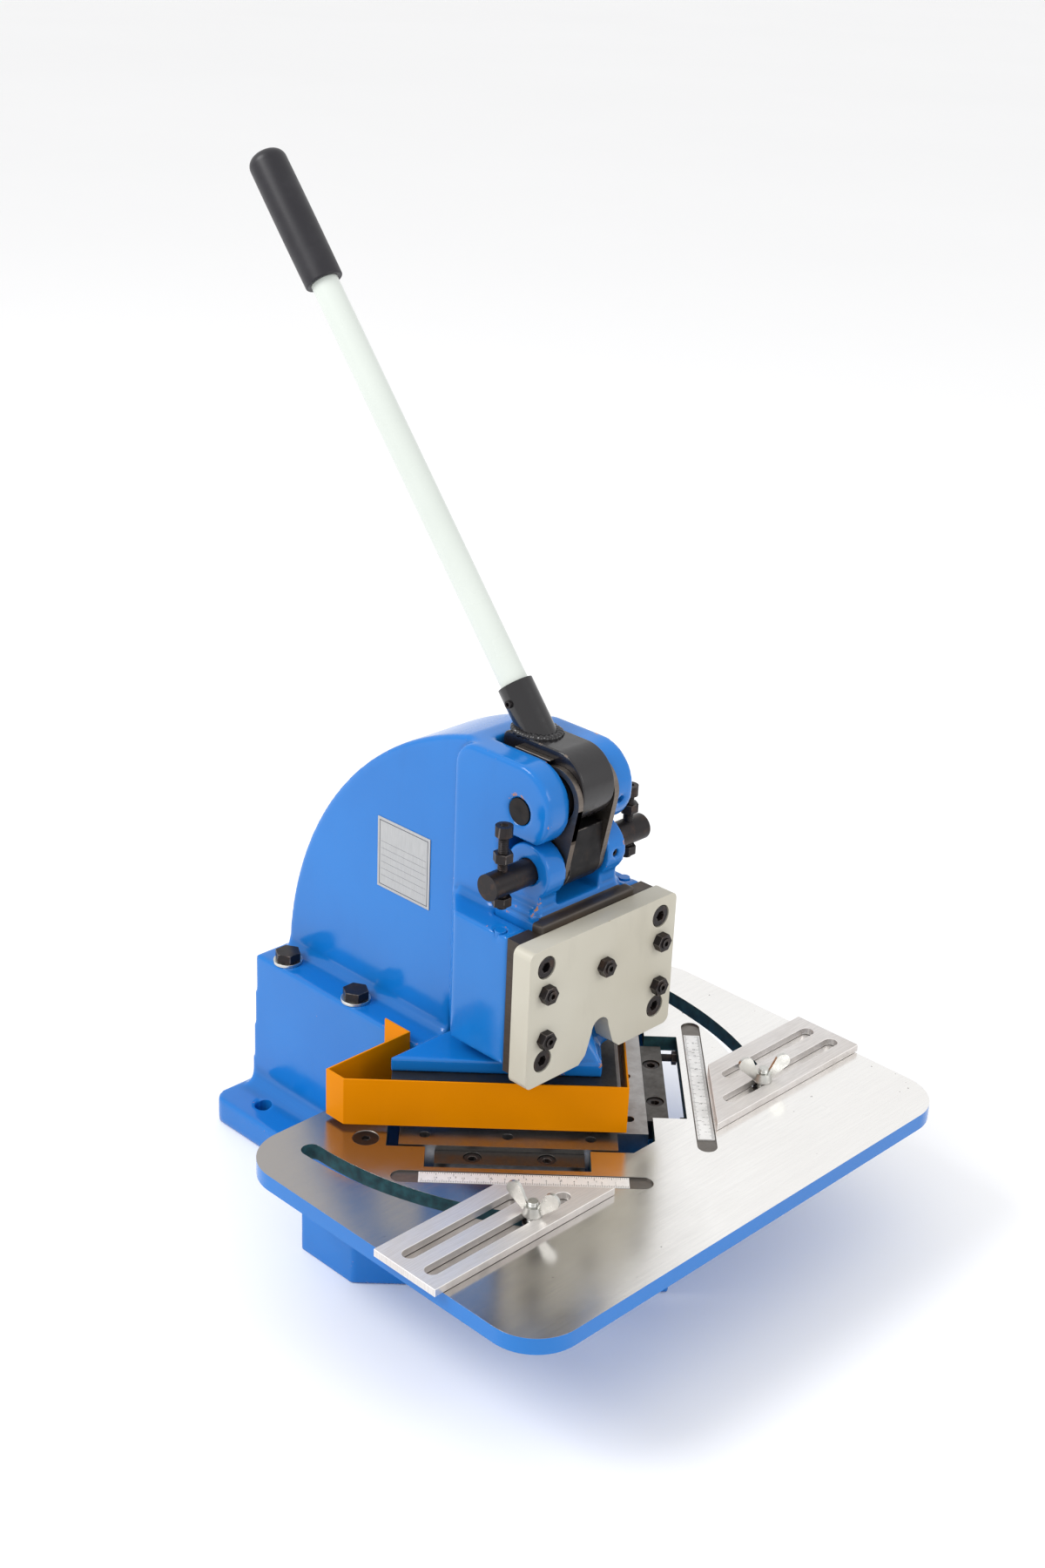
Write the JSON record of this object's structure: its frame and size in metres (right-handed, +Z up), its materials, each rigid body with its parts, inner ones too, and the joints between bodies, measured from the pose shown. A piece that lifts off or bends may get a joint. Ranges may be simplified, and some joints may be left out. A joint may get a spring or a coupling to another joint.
{
  "type": "sheet metal corner notcher",
  "caption": "Hand-lever bench press that notches sheet-metal corners: cast C frame, V blades, guard, table with sliding fences and rules.",
  "frame": {"origin": "centre of the four foot bolt holes on the underside", "axes": "+Z up, the operator stands on the -Y side, +X to the right seen from there"},
  "size_m": [0.4703, 0.557, 0.7824],
  "materials": {
    "blue_paint": "gloss",
    "ivory_paint": "satin",
    "orange_paint": "gloss",
    "white_paint": "gloss",
    "black_paint": "gloss",
    "black_oxide": "satin",
    "zinc": "bright",
    "ground_steel": "ground",
    "bare_steel": "satin",
    "table_steel": "brushed",
    "rule_steel": "satin",
    "plate_metal": "satin",
    "grip_rubber": "matt"
  },
  "bodies": {
    "frame": {"base": "blue_paint", "upper_frame": "blue_paint", "frame_bolts": "black_oxide", "frame_washers": "zinc", "data_plate": "plate_metal", "cover_plate": "ivory_paint", "cover_screws": "black_oxide", "left_gib_strip": "black_oxide", "right_gib_strip": "black_oxide", "gib_screws": "black_oxide", "gib_lock_nuts": "black_oxide", "pivot_screw": "black_oxide", "stop_pads": "zinc", "guard": "orange_paint", "guard_screws": "black_oxide", "table": "table_steel", "table_screws": "black_oxide", "left_rule": "rule_steel", "right_rule": "rule_steel", "left_lower_blade": "ground_steel", "right_lower_blade": "ground_steel", "lower_blade_screws": "black_oxide", "left_support_bar": "ground_steel", "right_support_bar": "ground_steel", "bar_screws": "black_oxide", "push_bolts": "black_oxide"},
    "lever": {"eccentric_shaft": "bare_steel", "lever_hub": "black_paint", "left_lever_cheek": "bare_steel", "right_lever_cheek": "bare_steel", "handle_socket": "black_paint", "socket_screw": "black_oxide", "handle_tube": "white_paint", "hand_grip": "grip_rubber"},
    "ram": {"ram_body": "blue_paint", "ram_pin": "black_oxide", "ram_pin_screw": "black_oxide", "left_link_plate": "bare_steel", "right_link_plate": "bare_steel", "link_block": "black_paint", "stop_screws": "black_oxide", "stop_nuts": "black_oxide", "left_upper_blade": "ground_steel", "right_upper_blade": "ground_steel", "upper_blade_screws": "black_oxide"},
    "left_slot_nut": {"left_slot_nut": "black_oxide"},
    "left_stud": {"left_stud": "zinc"},
    "left_fence": {"left_fence": "ground_steel"},
    "left_wing_nut": {"left_wing_nut": "zinc"},
    "right_slot_nut": {"right_slot_nut": "black_oxide"},
    "right_stud": {"right_stud": "zinc"},
    "right_fence": {"right_fence": "ground_steel"},
    "right_wing_nut": {"right_wing_nut": "zinc"}
  },
  "joints": [
    {"name": "lever_swing", "type": "hinge", "parent": "frame", "child": "lever", "pos_m": [0, -0.1955, 0.3653], "axis": [1, 0, 0], "range_deg": [0, 74]},
    {"name": "ram_slide", "type": "slide", "parent": "frame", "child": "ram", "axis": [0, 0, 1], "range_m": [-0.01746, 0]},
    {"name": "left_nut_arc", "type": "hinge", "parent": "frame", "child": "left_slot_nut", "pos_m": [0.107, -0.1325, 0.098], "axis": [0, 0, -1], "range_deg": [-1, 30]},
    {"name": "left_stud_turn", "type": "hinge", "parent": "left_slot_nut", "child": "left_stud", "pos_m": [-0.12859, -0.30619, 0.104], "axis": [0, 0, -1], "range_deg": [-30, 30]},
    {"name": "left_fence_slide", "type": "slide", "parent": "left_stud", "child": "left_fence", "axis": [1, 0, 0], "range_m": [-0.03, 0.05]},
    {"name": "left_wing_turn", "type": "hinge", "parent": "left_stud", "child": "left_wing_nut", "pos_m": [-0.12859, -0.30619, 0.124], "axis": [0, 0, 1], "continuous": true},
    {"name": "right_nut_arc", "type": "hinge", "parent": "frame", "child": "right_slot_nut", "pos_m": [-0.107, -0.1325, 0.098], "axis": [0, 0, 1], "range_deg": [-2, 28]},
    {"name": "right_stud_turn", "type": "hinge", "parent": "right_slot_nut", "child": "right_stud", "pos_m": [0.13218, -0.30122, 0.104], "axis": [0, 0, 1], "range_deg": [-30, 30]},
    {"name": "right_fence_slide", "type": "slide", "parent": "right_stud", "child": "right_fence", "axis": [-1, 0, 0], "range_m": [-0.03, 0.05]},
    {"name": "right_wing_turn", "type": "hinge", "parent": "right_stud", "child": "right_wing_nut", "pos_m": [0.13218, -0.30122, 0.124], "axis": [0, 0, 1], "continuous": true}
  ],
  "couplings": [
    {"joint": "ram_slide", "follows": "lever_swing", "m_per_rad": -0.013513}
  ]
}
